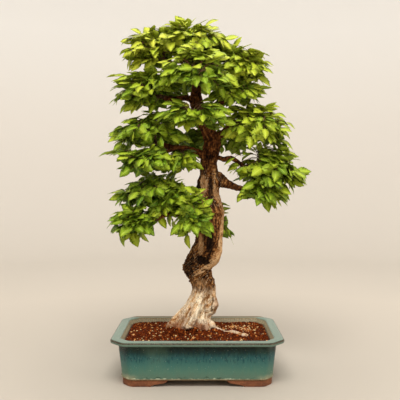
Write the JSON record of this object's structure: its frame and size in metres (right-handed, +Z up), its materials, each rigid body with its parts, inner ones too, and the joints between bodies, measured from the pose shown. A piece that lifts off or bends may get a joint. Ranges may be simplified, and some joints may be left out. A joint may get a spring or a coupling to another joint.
{
  "type": "bonsai tree",
  "caption": "Upright deciduous bonsai with a twisted, pale-footed trunk and tiers of pointed green leaves, in a rectangular teal glazed pot with cut corners and bracket feet.",
  "frame": {"origin": "middle of the whole object's footprint box, on the surface that the pot's feet stand on", "axes": "+Z up the tree; the pot's long front side faces -Y and its length runs along X"},
  "size_m": [0.487, 0.3174, 0.8223],
  "materials": {
    "glazed_clay": "gloss",
    "soil": "rough",
    "plastic_net": "matte",
    "bark": "rough",
    "leaf": "satin"
  },
  "bodies": {
    "root": {"drain_screen_left": "plastic_net", "drain_screen_right": "plastic_net", "pot": "glazed_clay", "soil": "soil", "spray_crown_back": "leaf", "spray_crown_front": "leaf", "spray_crown_left": "leaf", "spray_crown_right": "leaf", "spray_crown_top": "leaf", "spray_low_back": "leaf", "spray_low_front": "leaf", "spray_low_left": "leaf", "spray_low_right": "leaf", "spray_lowest_left": "leaf", "spray_mid_back": "leaf", "spray_mid_front": "leaf", "spray_mid_left": "leaf", "spray_mid_left_low": "leaf", "spray_mid_right": "leaf", "spray_right_arm": "leaf", "spray_upper_left": "leaf", "spray_upper_right": "leaf", "trunk": "bark"}
  },
  "joints": []
}
